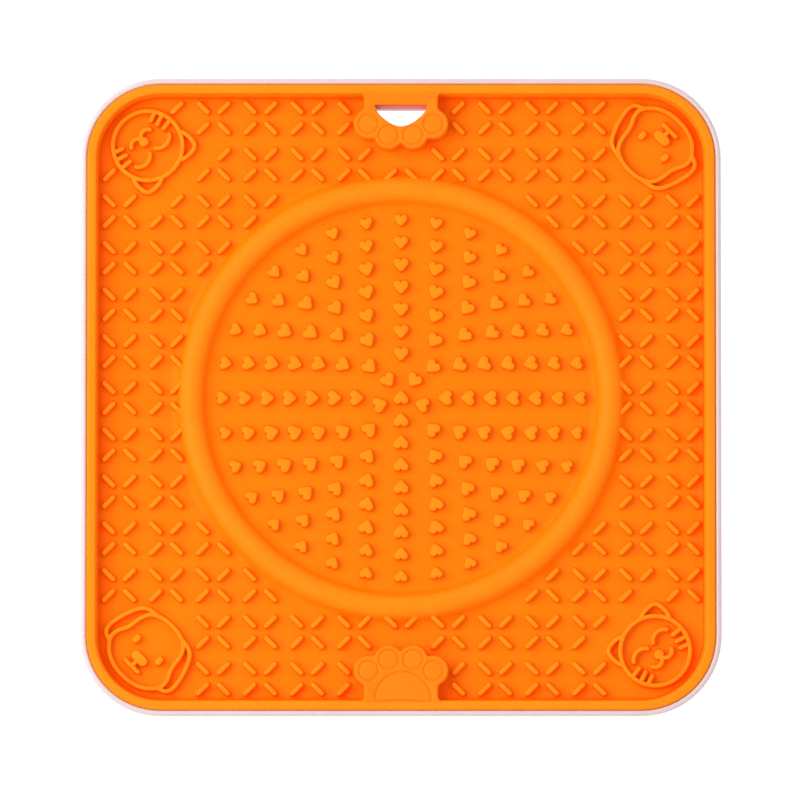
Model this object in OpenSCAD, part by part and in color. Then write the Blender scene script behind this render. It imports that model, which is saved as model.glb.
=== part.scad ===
// Lick mat: a soft mat with a moulded licking surface, nested in a rigid tray on four suction cups.
// +Z is up, the cups' lips lie on z = 0, and the origin is the middle of the footprint.
// -Y is the front and +Y the side with the hanging hole.

/* [Tray] */
// Width of the tray across its top edge
tray_w = 200; // [190:1:240]
// Length of the tray across its top edge, from the front to the hanging side
tray_l = 200; // [190:1:240]
// Radius of the tray's corners at its top edge
tray_corner_r = 25; // [18:0.5:32]
// Height of the tray from its underside to its top edge
tray_h = 10; // [8.5:0.1:12]
// Thickness of the tray's floor and wall
tray_t = 1.7; // [1.2:0.1:2]
// How far the tray's wall leans in towards its foot, in degrees
wall_lean = 9; // [4:0.5:12]
// Outside radius of the bend between the tray's wall and floor
tray_bend_r = 3; // [2.6:0.1:4]

/* [Mat] */
// Clearance between the mat and the tray
mat_gap = 0.2; // [0.1:0.05:0.4]
// Thickness of the mat's floor
mat_floor_t = 2; // [1.6:0.1:3]
// Height of the rim above the mat's floor
rim_h = 6.5; // [5.5:0.1:8]
// Width of the rim at its top
rim_w = 2.8; // [2.2:0.1:4]
// How far the rim's inner wall leans outwards, in degrees
rim_draft = 8; // [2:0.5:12]
// Radius of the rim's two top edges
rim_edge_r = 0.7; // [0.3:0.1:1]
// Radius of the fillet between the rim and the floor
rim_fillet_r = 1.5; // [0.8:0.1:2.5]
// Radius of the mat's lower outer edge
mat_foot_r = 1.6; // [1.4:0.1:2]

/* [Round ridge] */
// Radius of the circle along which the ridge's crest runs
ridge_r = 64.8; // [60:0.1:68]
// Width of the ridge at the floor
ridge_w = 8.4; // [6:0.1:10]
// Height of the ridge's crest above the floor
ridge_h = 4; // [2:0.1:4.2]

/* [Nubs] */
// Height of the nubs above the floor
nub_h = 2.6; // [1.5:0.1:3.4]
// Distance between neighbouring rings of hearts
heart_pitch = 7; // [6.6:0.1:7]
// Number of rings of hearts round the middle one
heart_rings = 8; // [4:1:8]
// Width of a heart across its lobes
heart_w = 4.65; // [3:0.05:5]
// Width of the outermost hearts, as a share of the others
outer_heart_share = 0.85; // [0.7:0.01:1]
// Distance between neighbouring crosses of bars
bar_pitch = 14.68; // [13:0.01:16]
// Length of a bar, over its round ends
bar_l = 5.3; // [3:0.1:6]
// Width of a bar
bar_w = 1.4; // [1:0.05:2]

/* [Corner figures] */
// Distance from the mat's sides to the middle of a head
figure_inset = 18.8; // [17.5:0.1:20]
// Radius of a head, to the middle of its outline
head_r = 10.9; // [8:0.1:11.2]
// Width of the figures' raised lines
line_w = 1.25; // [0.8:0.05:1.6]

/* [Paw tabs] */
// Radius of a toe's raised disc
toe_r = 3.4; // [2.4:0.1:3.6]
// Width of the tab's border round a toe
toe_border = 1.3; // [0.8:0.1:2]
// Distance between the two inner toes
inner_toe_spread = 7.7; // [7:0.1:9]
// Distance between the two outer toes
outer_toe_spread = 20.3; // [18:0.1:22]
// Distance from the mat's side to the inner toes
inner_toe_inset = 16.2; // [14:0.1:18]
// Distance from the mat's side to the outer toes
outer_toe_inset = 12.6; // [11:0.1:14]
// Width of the neck that joins a tab to the rim
neck_w = 23.2; // [20:0.1:26]
// Radius of the palm pad on the front tab
palm_r = 8.8; // [6:0.1:9.2]
// Distance from the mat's side to the palm pad's straight edge
palm_inset = 3.1; // [2:0.1:4]
// Width of the grooves round the toes and the palm
groove_w = 0.6; // [0.3:0.1:0.9]
// Depth of the grooves
groove_d = 0.4; // [0.2:0.1:1]

/* [Hanging hole] */
// Radius of the hanging hole's round side
hole_r = 8.2; // [5:0.1:8.6]
// Depth of the hanging hole, from its straight edge to its round side
hole_depth = 7; // [5:0.1:7.4]
// Distance from the mat's side to the hole's straight edge
hole_inset = 6.4; // [5.8:0.1:7]
// Wall round the hole where the tray rises inside the tab
collar_wall = 1.6; // [1:0.1:1.8]
// Thickness of the mat's skin above the collar
skin_t = 2.1; // [1.5:0.1:3]

/* [Suction cups] */
// Height of the tray's underside above the surface that the cups rest on
stand_h = 7; // [6:0.1:10]
// Diameter of a cup at its lip
cup_d = 40; // [26:0.5:44]
// Distance from the tray's sides to a cup's middle
cup_inset = 36; // [30:0.5:46]
// Diameter of a cup's stem
stem_d = 8; // [5:0.1:10]
// Length of the stem inside its socket
stem_l = 3.4; // [2:0.1:3.6]
// Height of a cup's body under its socket
cup_h = 4.2; // [3.6:0.1:5.5]
// Radial clearance between a stem and its socket
stem_gap = 0.1; // [0.05:0.05:0.3]
// Wall of a socket
socket_wall = 2; // [1.2:0.1:3]
// Thickness of a cup's lip
lip_t = 0.9; // [0.6:0.1:1.4]

/* [Hidden] */
$fn = 48;
// Sides of the small circles in the nubs and the figures
nub_sides = 24;
// Overrun of every cut past the faces that it goes through
cut = 1;

// Levels, from the resting plane up
floor_top_z = stand_h + tray_t;
mat_floor_z = floor_top_z + mat_floor_t;
rim_top_z = mat_floor_z + rim_h;
nub_foot_z = mat_floor_z - mat_floor_t / 2;
socket_mouth_z = cup_h;

// The wall's rounded top edge: its distance out from the middle of the corner, and its level
lip_u = tray_corner_r - tray_t / 2;
lip_z = stand_h + tray_h - tray_t / 2;
// The wall's run from its top edge down to the bend, and the middle of the bend
wall_run = (lip_z - stand_h - tray_bend_r + (tray_bend_r - tray_t / 2) * sin(wall_lean)) / cos(wall_lean);
bend_u = lip_u + (tray_t / 2 - tray_bend_r) * cos(wall_lean) - wall_run * sin(wall_lean);
bend_z = stand_h + tray_bend_r;

// The mat's outer face at a level, as a distance out from the middle of the corner
function mat_face_u(z) =
    lip_u - (tray_t / 2 + mat_gap) / cos(wall_lean) + (z - lip_z) * tan(wall_lean);
// The middles of the rim's rounded edges, of the mat's foot and of the fillet at the floor
edge_z = rim_top_z - rim_edge_r;
outer_edge_u = mat_face_u(edge_z) - rim_edge_r / cos(wall_lean);
mat_reach_u = outer_edge_u + rim_edge_r;
rim_inner_u = mat_reach_u - rim_w;
function rim_face_u(z) = rim_inner_u - (rim_top_z - z) * tan(rim_draft);
inner_edge_u = rim_face_u(edge_z) + rim_edge_r / cos(rim_draft);
foot_z = floor_top_z + mat_foot_r;
foot_u = mat_face_u(foot_z) - mat_foot_r / cos(wall_lean);
fillet_z = mat_floor_z + rim_fillet_r;
fillet_u = rim_face_u(fillet_z) - rim_fillet_r / cos(rim_draft);
// The floor's stub in the swept sections, and how far the plain plates reach into it
stub_w = 3;
plate_lap = 1.5;

// The mat's outside size at its rim, and the flat floor inside the rim with its round corners
mat_half_w = tray_w / 2 - tray_corner_r + mat_reach_u;
mat_half_l = tray_l / 2 - tray_corner_r + mat_reach_u;
floor_corner_r = rim_face_u(mat_floor_z);
floor_half_w = tray_w / 2 - tray_corner_r + floor_corner_r;
floor_half_l = tray_l / 2 - tray_corner_r + floor_corner_r;

// The ridge's round cross-section
crest_r = (ridge_w * ridge_w / 4 + ridge_h * ridge_h) / (2 * ridge_h);
crest_z = mat_floor_z + ridge_h - crest_r;

// A heart's outline, as shares of its width: the lobes, and the round tip
lobe_r_share = 0.27;
lobe_y_share = 0.13;
tip_r_share = 0.17;
tip_y_share = 0.30;
heart_hollow_share = 0.16;

// Bars: how far a bar's middle lies from its cross's middle, and what keeps clear of what
bar_offset_share = 0.2214;
bar_reach = bar_l / 2 * cos(45);
bar_clear = 1.1;
bar_tab_clear = 2.3;
// How far from a head's middle the bars start, in head radii, for the rear left and the other corners
rear_left_clear_share = 1.28;
figure_clear_share = 1.48;
// An ear tip's place and the space that it keeps, in head radii
ear_tip_share = 1.4;
ear_clear_share = 0.42;

// Cat's face, in head radii: ears, eyes, nose, mouth and whiskers
ear_foot_shares = [0.41, 0.92];
ear_peak_share = 1.33;
shut_eye_shares = [0.39, 0.01];
shut_eye_r_share = 0.34;
cat_nose_shares = [0, -0.15];
cat_nose_r_share = 0.13;
cat_mouth_shares = [0.195, -0.2];
cat_mouth_r_share = 0.195;
whisker_in_shares = [[0.68, -0.03], [0.63, -0.24], [0.57, -0.45]];
whisker_angles = [4, 20, 33];

// Dog's face, in head radii, one half of it: its chin, its crown, the two sides of its hanging ear, from the
// chin up, and the hollow between them
dog_chin_shares = [
    [0, -0.994], [0.229, -0.983], [0.45, -0.929], [0.63, -0.855], [0.783, -0.751], [0.914, -0.613]
];
dog_ear_out_shares = [
    [0.986, -0.528], [1.064, -0.505], [1.147, -0.482], [1.22, -0.427], [1.273, -0.33], [1.288, -0.202],
    [1.273, -0.046], [1.235, 0.142], [1.178, 0.339], [1.101, 0.537], [1.014, 0.706], [0.936, 0.803],
    [0.835, 0.867], [0.725, 0.904], [0.587, 0.917]
];
dog_ear_in_shares = [
    [0.995, -0.495], [1.028, -0.404], [1.025, -0.282], [0.995, -0.154], [0.932, -0.032], [0.872, 0.106],
    [0.839, 0.245], [0.822, 0.391], [0.797, 0.529], [0.752, 0.661], [0.679, 0.789], [0.578, 0.881]
];
dog_crown_shares = [[0.422, 0.952], [0.239, 1], [0, 1.018]];
dog_ear_hollow_shares = [
    [1.09, -0.395], [1.165, -0.375], [1.213, -0.3], [1.229, -0.2], [1.215, -0.046], [1.178, 0.132],
    [1.12, 0.325], [1.048, 0.51], [0.963, 0.665], [0.895, 0.752], [0.817, 0.803], [0.821, 0.679],
    [0.853, 0.541], [0.876, 0.399], [0.895, 0.257], [0.927, 0.124], [0.986, -0.009], [1.05, -0.133],
    [1.083, -0.266]
];
dog_eye_shares = [0.455, 0.04];
dog_eye_run_share = 0.05;
dog_eye_r_share = 0.088;
dog_nose_shares = [0.128, -0.303];
dog_nose_r_share = 0.136;
dog_mouth_y_share = -0.615;
dog_mouth_share = 0.25;

// Corners in order: rear left, rear right, front left, front right, as signs of x and y
corners = [[-1, 1], [1, 1], [-1, -1], [1, -1]];

// The round side's middle of the hanging hole and of the palm, and the collar
hole_edge_y = mat_half_l - hole_inset;
hole_y = hole_edge_y - hole_depth + hole_r;
collar_top_z = rim_top_z - skin_t - mat_gap;
palm_edge_y = mat_half_l - palm_inset;
// The fillets where a tab's neck meets the rim
neck_fillet_r = 1.5;
lobe_r = toe_r + toe_border;

// Suction cups: their socket, and the shape of their bell
socket_r = stem_d / 2 + stem_gap;
socket_depth = stem_l + stem_gap;
bell_shoulder_r = socket_r + socket_wall;
bell_hollow_share = 0.45;
bell_crown_share = 0.3;
stem_chamfer = 0.4;
socket_foot_fillet = 1;

// Places
function toe_places() = [
    for (side = [-1, 1]) [side * inner_toe_spread / 2, mat_half_l - inner_toe_inset],
    for (side = [-1, 1]) [side * outer_toe_spread / 2, mat_half_l - outer_toe_inset]
];
function figure_place(corner) = [
    corner[0] * (mat_half_w - figure_inset),
    corner[1] * (mat_half_l - figure_inset)
];
function figure_clear(corner) =
    head_r * (corner == corners[0] ? rear_left_clear_share : figure_clear_share);
function has_cat(corner) = corner[0] * corner[1] < 0;
function ear_tips(corner) = [
    figure_place(corner) - [corner[0] * ear_tip_share * head_r, 0],
    figure_place(corner) - [0, corner[1] * ear_tip_share * head_r]
];

// Whether a place keeps a distance from every place of a list
function clear_of(place, others, distance) =
    len([for (other = others) if (norm(place - other) < distance) 1]) == 0;
function clear_of_tab(place) =
    let (spot = [place[0], abs(place[1])])
    clear_of(spot, toe_places(), lobe_r + bar_tab_clear)
    && clear_of(spot, [[0, hole_y]], palm_r + bar_tab_clear);
function clear_of_figure(place, corner) =
    norm(place - figure_place(corner)) > figure_clear(corner)
    && (!has_cat(corner) || clear_of(place, ear_tips(corner), ear_clear_share * head_r));
// Whether a bar stays inside the floor's sides and its round corners
function on_floor(place) =
    let (
        past_w = abs(place[0]) - floor_half_w + floor_corner_r,
        past_l = abs(place[1]) - floor_half_l + floor_corner_r
    )
    max(past_w, past_l) + bar_reach < floor_corner_r
    && (min(past_w, past_l) < 0 || norm([past_w, past_l]) + bar_l / 2 < floor_corner_r);
function bar_fits(place) =
    norm(place) > ridge_r + ridge_w / 2 + bar_clear
    && on_floor(place)
    && clear_of_tab(place)
    && len([for (corner = corners) if (!clear_of_figure(place, corner)) 1]) == 0;

// A whole outline from one half of it, which starts and ends on the middle line
function whole(half) = concat(half, [for (i = [len(half) - 2:-1:1]) [-half[i][0], half[i][1]]]);
// An anticlockwise outline, grown by a distance
function grown(points, by) = [
    for (i = [0:len(points) - 1])
        let (run = points[(i + 1) % len(points)] - points[(i + len(points) - 1) % len(points)])
        points[i] + by / norm(run) * [run[1], -run[0]]
];

// Flat shapes

// A rounded rectangle
module rounded_plate(w, l, r) {
    square([w - 2 * r, l], center = true);
    square([w, l - 2 * r], center = true);
    for (x = [-1, 1], y = [-1, 1]) {
        translate([x * (w / 2 - r), y * (l / 2 - r)]) circle(r = r);
    }
}

// A bar with round ends of two radii, from one point to another
module round_bar(from, to, r1, r2) {
    run = norm(to - from);
    turn = atan2(to[1] - from[1], to[0] - from[0]);
    lean = acos((r1 - r2) / run);
    translate(from) circle(r = r1, $fn = nub_sides);
    translate(to) circle(r = r2, $fn = nub_sides);
    polygon([
        from + r1 * [cos(turn + lean), sin(turn + lean)],
        from + r1 * [cos(turn - lean), sin(turn - lean)],
        to + r2 * [cos(turn - lean), sin(turn - lean)],
        to + r2 * [cos(turn + lean), sin(turn + lean)]
    ]);
}

// A line of a figure
module stroke(from, to) {
    round_bar(from, to, line_w / 2, line_w / 2);
}

// A line of a figure along a circle, with round ends
module arc_stroke(r, from_angle, to_angle) {
    far = 2 * r;
    intersection() {
        difference() {
            circle(r = r + line_w / 2, $fn = nub_sides * 2);
            circle(r = r - line_w / 2, $fn = nub_sides * 2);
        }
        polygon([
            [0, 0],
            far * [cos(from_angle), sin(from_angle)],
            far * [cos((2 * from_angle + to_angle) / 3), sin((2 * from_angle + to_angle) / 3)],
            far * [cos((from_angle + 2 * to_angle) / 3), sin((from_angle + 2 * to_angle) / 3)],
            far * [cos(to_angle), sin(to_angle)]
        ]);
    }
    for (angle = [from_angle, to_angle]) {
        translate(r * [cos(angle), sin(angle)]) circle(d = line_w, $fn = nub_sides);
    }
}

// A heart whose tip points along -Y
module heart(w) {
    lobe = w * lobe_r_share;
    lobe_x = w / 2 - lobe;
    lobe_y = w * lobe_y_share;
    tip_y = -w * tip_y_share;
    for (side = [-1, 1]) round_bar([side * lobe_x, lobe_y], [0, tip_y], lobe, w * tip_r_share);
    polygon([[-lobe_x, lobe_y], [0, tip_y], [lobe_x, lobe_y], [0, lobe_y + w * heart_hollow_share]]);
}

// The hearts: one in the middle and rings of them round it, every tip pointing inwards
module heart_field() {
    rotate(180) heart(heart_w);
    for (ring = [1:heart_rings]) {
        count = ring == 1 ? 5 : 4 * ring;
        first = ring == 1 ? -90 : 0;
        share = ring == heart_rings ? outer_heart_share
            : ring == heart_rings - 1 ? (1 + outer_heart_share) / 2
            : 1;
        for (place = [0:count - 1]) {
            rotate(first + place * 360 / count)
                translate([ring * heart_pitch, 0])
                    rotate(-90)
                        heart(heart_w * share);
        }
    }
}

// The bars: crosses with an open middle, left out where something else stands
module bar_field() {
    columns = floor(floor_half_w / bar_pitch);
    rows = floor(floor_half_l / bar_pitch);
    for (column = [-columns:columns], row = [-rows:rows], side = [-1, 1], end = [-1, 1]) {
        place = bar_pitch * [column + side * bar_offset_share, row + end * bar_offset_share];
        if (bar_fits(place)) {
            translate(place) rotate(side * end * 45) {
                reach = (bar_l - bar_w) / 2;
                round_bar([-reach, 0], [reach, 0], bar_w / 2, bar_w / 2);
            }
        }
    }
}

// A cat's face in lines, the top of its head along +Y
module cat_face() {
    difference() {
        circle(r = head_r + line_w / 2);
        circle(r = head_r - line_w / 2);
    }
    for (side = [-1, 1]) {
        // Ear
        rotate(side * 45) for (edge = [-1, 1]) {
            stroke(
                head_r * [edge * ear_foot_shares[0], ear_foot_shares[1]],
                head_r * [0, ear_peak_share]
            );
        }
        // Shut eye and half of the mouth
        translate(head_r * [side * shut_eye_shares[0], shut_eye_shares[1]])
            arc_stroke(shut_eye_r_share * head_r, 35, 145);
        translate(head_r * [side * cat_mouth_shares[0], cat_mouth_shares[1]])
            arc_stroke(cat_mouth_r_share * head_r, 205, 335);
        // Whiskers, each from the cheek to the outline
        for (whisker = [0:len(whisker_angles) - 1]) {
            inner = whisker_in_shares[whisker];
            angle = whisker_angles[whisker];
            stroke(head_r * [side * inner[0], inner[1]], head_r * [side * cos(angle), -sin(angle)]);
        }
    }
    translate(head_r * cat_nose_shares) circle(r = cat_nose_r_share * head_r, $fn = nub_sides);
}

// A dog's face in lines, the top of its head along +Y
module dog_face() {
    around = whole(concat(dog_chin_shares, dog_ear_out_shares, dog_crown_shares));
    within = whole(concat(dog_chin_shares, dog_ear_in_shares, dog_crown_shares));
    difference() {
        polygon(grown(head_r * around, line_w / 2));
        polygon(grown(head_r * within, -line_w / 2));
        for (side = [-1, 1]) {
            polygon([for (share = dog_ear_hollow_shares) head_r * [side * share[0], share[1]]]);
        }
    }
    for (side = [-1, 1]) translate(head_r * [side * dog_eye_shares[0], dog_eye_shares[1]]) {
        eye_run = [0, dog_eye_run_share * head_r];
        round_bar(-eye_run, eye_run, dog_eye_r_share * head_r, dog_eye_r_share * head_r);
    }
    // Nose, the line below it and the mouth
    nose_x = dog_nose_shares[0] * head_r;
    nose_y = dog_nose_shares[1] * head_r;
    nose_r = dog_nose_r_share * head_r;
    mouth_y = dog_mouth_y_share * head_r;
    round_bar([-nose_x, nose_y], [nose_x, nose_y], nose_r, nose_r);
    stroke([0, nose_y], [0, mouth_y]);
    stroke([-dog_mouth_share * head_r, mouth_y], [dog_mouth_share * head_r, mouth_y]);
}

// The four corner figures, the tops of their heads towards the middle of the mat
module figure_field() {
    for (corner = corners) {
        translate(figure_place(corner)) rotate(atan2(-corner[1], -corner[0]) - 90) {
            if (has_cat(corner)) cat_face();
            else dog_face();
        }
    }
}

// A round form cut off straight, its straight side along +Y, grown by an amount
module round_with_flat(middle_y, flat_y, r, grow) {
    intersection() {
        translate([0, middle_y]) circle(r = r + grow);
        translate([-2 * r, flat_y + grow - 4 * r]) square([4 * r, 4 * r]);
    }
}

// The hanging hole's outline, grown by an amount
module hole_shape(grow) {
    round_with_flat(hole_y, hole_edge_y, hole_r, grow);
}

// The outline of a paw tab on the rear side
module tab_shape() {
    reach_y = mat_half_l - rim_w / 2;
    neck_foot_y = mat_half_l - outer_toe_inset;
    rim_y = mat_half_l - rim_w;
    for (place = toe_places()) translate(place) circle(r = lobe_r);
    translate([-neck_w / 2, neck_foot_y]) square([neck_w, reach_y - neck_foot_y]);
    translate([-outer_toe_spread / 2, neck_foot_y - toe_r]) square([outer_toe_spread, 2 * toe_r]);
    for (side = [-1, 1]) difference() {
        translate([side * (neck_w + neck_fillet_r) / 2, rim_y - neck_fillet_r / 2])
            square([neck_fillet_r, neck_fillet_r], center = true);
        translate([side * (neck_w / 2 + neck_fillet_r), rim_y - neck_fillet_r]) circle(r = neck_fillet_r);
    }
}

// A groove along the outside of a round form
module ring_groove(r) {
    difference() {
        circle(r = r + groove_w / 2);
        circle(r = r - groove_w / 2);
    }
}

// Swept walls

// Sweeps a cross-section, drawn as [distance out from the corner's middle, level], round the plate
module sweep_round(w, l, r) {
    side_w = w - 2 * r;
    side_l = l - 2 * r;
    for (turn = [0:3]) {
        run = turn % 2 == 0 ? side_l : side_w;
        out = turn % 2 == 0 ? side_w / 2 : side_l / 2;
        rotate(turn * 90) {
            // A straight side
            translate([out, run / 2, 0]) rotate([90, 0, 0]) linear_extrude(run) children();
            // The corner that follows it
            translate([out, run / 2, 0]) rotate_extrude(angle = 90) children();
        }
    }
}

// Cross-section of the tray's wall: its rounded edge, its lean and the bend into the floor
module tray_section() {
    outward = [cos(wall_lean), -sin(wall_lean)];
    lip = [lip_u, lip_z];
    bend = [bend_u, bend_z];
    stub_u = bend_u - stub_w;
    difference() {
        union() {
            polygon([
                [stub_u, stand_h],
                [bend_u, stand_h],
                bend,
                bend + tray_bend_r * outward,
                lip + tray_t / 2 * outward,
                lip - tray_t / 2 * outward,
                [stub_u, bend_z]
            ]);
            translate(bend) circle(r = tray_bend_r);
        }
        polygon([
            [stub_u - cut, floor_top_z],
            [bend_u, floor_top_z],
            bend,
            bend + (tray_bend_r - tray_t) * outward,
            lip - tray_t / 2 * outward,
            [stub_u - cut, lip_z]
        ]);
        translate(bend) circle(r = tray_bend_r - tray_t);
    }
    translate(lip) circle(d = tray_t);
}

// Cross-section of the mat's rim, with its rounded edges, its foot and the fillet at the floor
module rim_section() {
    outward = [cos(wall_lean), -sin(wall_lean)];
    inward = [-cos(rim_draft), sin(rim_draft)];
    difference() {
        polygon([
            [fillet_u - stub_w, floor_top_z],
            [fillet_u - stub_w, mat_floor_z],
            [fillet_u, mat_floor_z],
            [fillet_u, fillet_z] - rim_fillet_r * inward,
            [inner_edge_u, edge_z] + rim_edge_r * inward,
            [inner_edge_u, edge_z],
            [inner_edge_u, rim_top_z],
            [outer_edge_u, rim_top_z],
            [outer_edge_u, edge_z],
            [outer_edge_u, edge_z] + rim_edge_r * outward,
            [foot_u, foot_z] + mat_foot_r * outward,
            [foot_u, foot_z],
            [foot_u, floor_top_z]
        ]);
        translate([fillet_u, fillet_z]) circle(r = rim_fillet_r);
    }
    translate([inner_edge_u, edge_z]) circle(r = rim_edge_r);
    translate([outer_edge_u, edge_z]) circle(r = rim_edge_r);
    translate([foot_u, foot_z]) circle(r = mat_foot_r);
}

// Cross-section of the ridge, from inside the floor up to its round crest
module ridge_section() {
    intersection() {
        translate([ridge_r, crest_z]) circle(r = crest_r);
        translate([ridge_r - crest_r - cut, nub_foot_z]) square([2 * (crest_r + cut), mat_floor_t + ridge_h]);
    }
}

// A flat plate that laps over the stubs of a swept wall
module lapped_plate(stub_end_u) {
    inset = tray_corner_r - stub_end_u - plate_lap;
    rounded_plate(tray_w - 2 * inset, tray_l - 2 * inset, tray_corner_r - inset);
}

// Pieces

// The soft mat: its body, the round ridge, and all that is raised inside the rim
module silicone_mat() {
    color([1, 0.55, 0.1]) union() {
        mat_body();
        rotate_extrude() ridge_section();
        translate([0, 0, nub_foot_z]) linear_extrude(mat_floor_z + nub_h - nub_foot_z) {
            heart_field();
            bar_field();
            figure_field();
        }
    }
}

// The mat's floor, its rim and the two paw tabs
module mat_body() {
    difference() {
        union() {
            translate([0, 0, floor_top_z]) linear_extrude(mat_floor_t) lapped_plate(fillet_u - stub_w);
            sweep_round(tray_w, tray_l, tray_corner_r) rim_section();
            for (turn = [0, 180]) rotate(turn) {
                translate([0, 0, nub_foot_z]) linear_extrude(rim_top_z - nub_foot_z) tab_shape();
            }
        }
        // Grooves round the toes on both tabs, and round the palm on the front one
        translate([0, 0, rim_top_z - groove_d]) linear_extrude(groove_d + cut) {
            for (turn = [0, 180], place = toe_places()) rotate(turn) translate(place) ring_groove(toe_r);
            rotate(180) difference() {
                round_with_flat(palm_edge_y, palm_edge_y, palm_r, groove_w / 2);
                round_with_flat(palm_edge_y, palm_edge_y, palm_r, -groove_w / 2);
            }
        }
        // Hanging hole, and the hollow that takes the tray's collar
        translate([0, 0, floor_top_z - cut]) {
            linear_extrude(rim_top_z - floor_top_z + 2 * cut) hole_shape(0);
            linear_extrude(rim_top_z - skin_t - floor_top_z + cut) hole_shape(collar_wall + mat_gap);
        }
    }
}

// The rigid tray: its shell, the collar of the hanging hole and the sockets of the cups
module base_tray() {
    color([0.95, 0.87, 0.86]) difference() {
        union() {
            sweep_round(tray_w, tray_l, tray_corner_r) tray_section();
            translate([0, 0, stand_h]) linear_extrude(tray_t) lapped_plate(bend_u - stub_w);
            translate([0, 0, stand_h]) linear_extrude(collar_top_z - stand_h) hole_shape(collar_wall);
            at_cups() rotate_extrude() socket_section();
        }
        translate([0, 0, stand_h - cut]) linear_extrude(tray_h + 2 * cut) hole_shape(0);
        at_cups() translate([0, 0, socket_mouth_z - cut]) cylinder(r = socket_r, h = socket_depth + cut);
    }
}

// Cross-section of a cup's socket under the tray, with a fillet at its root
module socket_section() {
    outer = bell_shoulder_r;
    root_z = stand_h + tray_t / 2;
    difference() {
        translate([0, socket_mouth_z]) square([outer + socket_foot_fillet, root_z - socket_mouth_z]);
        translate([outer, socket_mouth_z - cut])
            square([socket_foot_fillet + cut, stand_h - socket_foot_fillet - socket_mouth_z + cut]);
        translate([outer + socket_foot_fillet, stand_h - socket_foot_fillet]) circle(r = socket_foot_fillet);
    }
}

// Places a piece at each of the four cups, or at one of them
module at_cups(which = corners) {
    for (corner = which) {
        translate([corner[0] * (tray_w / 2 - cup_inset), corner[1] * (tray_l / 2 - cup_inset), 0]) children();
    }
}

// A suction cup: a thin bell under a stem
module suction_cup(corner) {
    lip_r = cup_d / 2;
    crown_z = cup_h * (1 - bell_hollow_share);
    color([0.86, 0.88, 0.9]) at_cups([corner]) rotate_extrude() difference() {
        polygon([
            [0, 0],
            [lip_r, 0],
            [lip_r, lip_t],
            [bell_shoulder_r + cup_h, cup_h * (1 - bell_crown_share)],
            [bell_shoulder_r, cup_h],
            [stem_d / 2, cup_h],
            [stem_d / 2, cup_h + stem_l - stem_chamfer],
            [stem_d / 2 - stem_chamfer, cup_h + stem_l],
            [0, cup_h + stem_l]
        ]);
        polygon([[0, -cut], [lip_r - lip_t, -cut], [lip_r - lip_t, 0], [stem_d / 2, crown_z], [0, crown_z]]);
    }
}

silicone_mat();
base_tray();
suction_cup(corners[2]);  // suction_cup_front_left
suction_cup(corners[3]);  // suction_cup_front_right
suction_cup(corners[0]);  // suction_cup_rear_left
suction_cup(corners[1]);  // suction_cup_rear_right
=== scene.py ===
"""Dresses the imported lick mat: a soft moulded mat, nested in a rigid tray on four suction cups."""

import logging
import math
from dataclasses import dataclass, replace
from enum import Enum
from functools import partial
from itertools import product
from typing import Callable, Iterable, Sequence

import bmesh
import bpy
from bmesh.types import BMEdge, BMesh, BMVert
from bpy.types import Material, Mesh, Node, NodeSocket, NodeTree, Object
from mathutils import Matrix, Vector


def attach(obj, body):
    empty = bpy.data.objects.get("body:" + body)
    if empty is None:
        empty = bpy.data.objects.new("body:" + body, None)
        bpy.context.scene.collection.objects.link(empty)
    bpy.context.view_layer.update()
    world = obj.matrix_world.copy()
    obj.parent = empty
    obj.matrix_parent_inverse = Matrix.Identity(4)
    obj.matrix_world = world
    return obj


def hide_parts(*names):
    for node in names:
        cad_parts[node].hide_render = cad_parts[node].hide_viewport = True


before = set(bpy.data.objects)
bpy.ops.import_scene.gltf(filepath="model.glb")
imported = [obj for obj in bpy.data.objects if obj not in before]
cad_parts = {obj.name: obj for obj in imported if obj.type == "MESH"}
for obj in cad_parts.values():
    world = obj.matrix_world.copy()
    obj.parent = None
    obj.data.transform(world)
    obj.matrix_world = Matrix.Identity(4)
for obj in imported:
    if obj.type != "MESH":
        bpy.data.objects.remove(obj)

LOG = logging.getLogger("lick_mat")
MM = 0.001
Point = tuple[float, float]
Section = Sequence[Point]
Ring = tuple[Section, float]
Loop = list[BMEdge]
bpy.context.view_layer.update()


class Slot(Enum):
    """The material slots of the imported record."""

    MAT = "orange_silicone"
    TRAY = "tray_plastic"
    CUP = "clear_soft"


@dataclass(frozen=True)
class Levels:
    """Heights above the plane that the cups rest on, in millimetres."""

    socket_mouth: float = 4.2
    tray_underside: float = 7.0
    floor_top: float = 8.7
    mat_floor: float = 10.7
    nub_top: float = 13.3
    collar_top: float = 14.9
    skin_foot: float = 15.1
    tab_top: float = 17.195
    rim_top: float = 17.2


LEVELS = Levels()


# Flat outlines, in millimetres


def arc(centre: Point, radius: float, start: float, end: float, steps: int) -> list[Point]:
    """Points along an arc.

    Args:
        centre: The arc's middle.
        radius: Its radius.
        start: First angle in degrees.
        end: Last angle in degrees.
        steps: Number of equal steps between them.

    Returns:
        steps + 1 points.
    """
    angles = [math.radians(start + (end - start) * i / steps) for i in range(steps + 1)]
    return [(centre[0] + radius * math.cos(a), centre[1] + radius * math.sin(a)) for a in angles]


def circle(centre: Point, radius: float, steps: int) -> list[Point]:
    """Points round a circle."""
    return arc(centre, radius, 0, 360, steps)[:-1]


def grown(path: Section, by: float, closed: bool = True) -> list[Point]:
    """Moves a path to its right, so that an anticlockwise outline grows.

    Args:
        path: The path's points.
        by: The distance.
        closed: Whether the last point joins the first.

    Returns:
        The moved points.
    """
    last = len(path) - 1
    moved = []
    for index, (x, y) in enumerate(path):
        before = path[index - 1] if closed or index else path[0]
        after = path[(index + 1) % len(path)] if closed or index < last else path[last]
        run_x, run_y = after[0] - before[0], after[1] - before[1]
        run = math.hypot(run_x, run_y)
        moved.append((x + by * run_y / run, y - by * run_x / run))
    return moved


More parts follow.
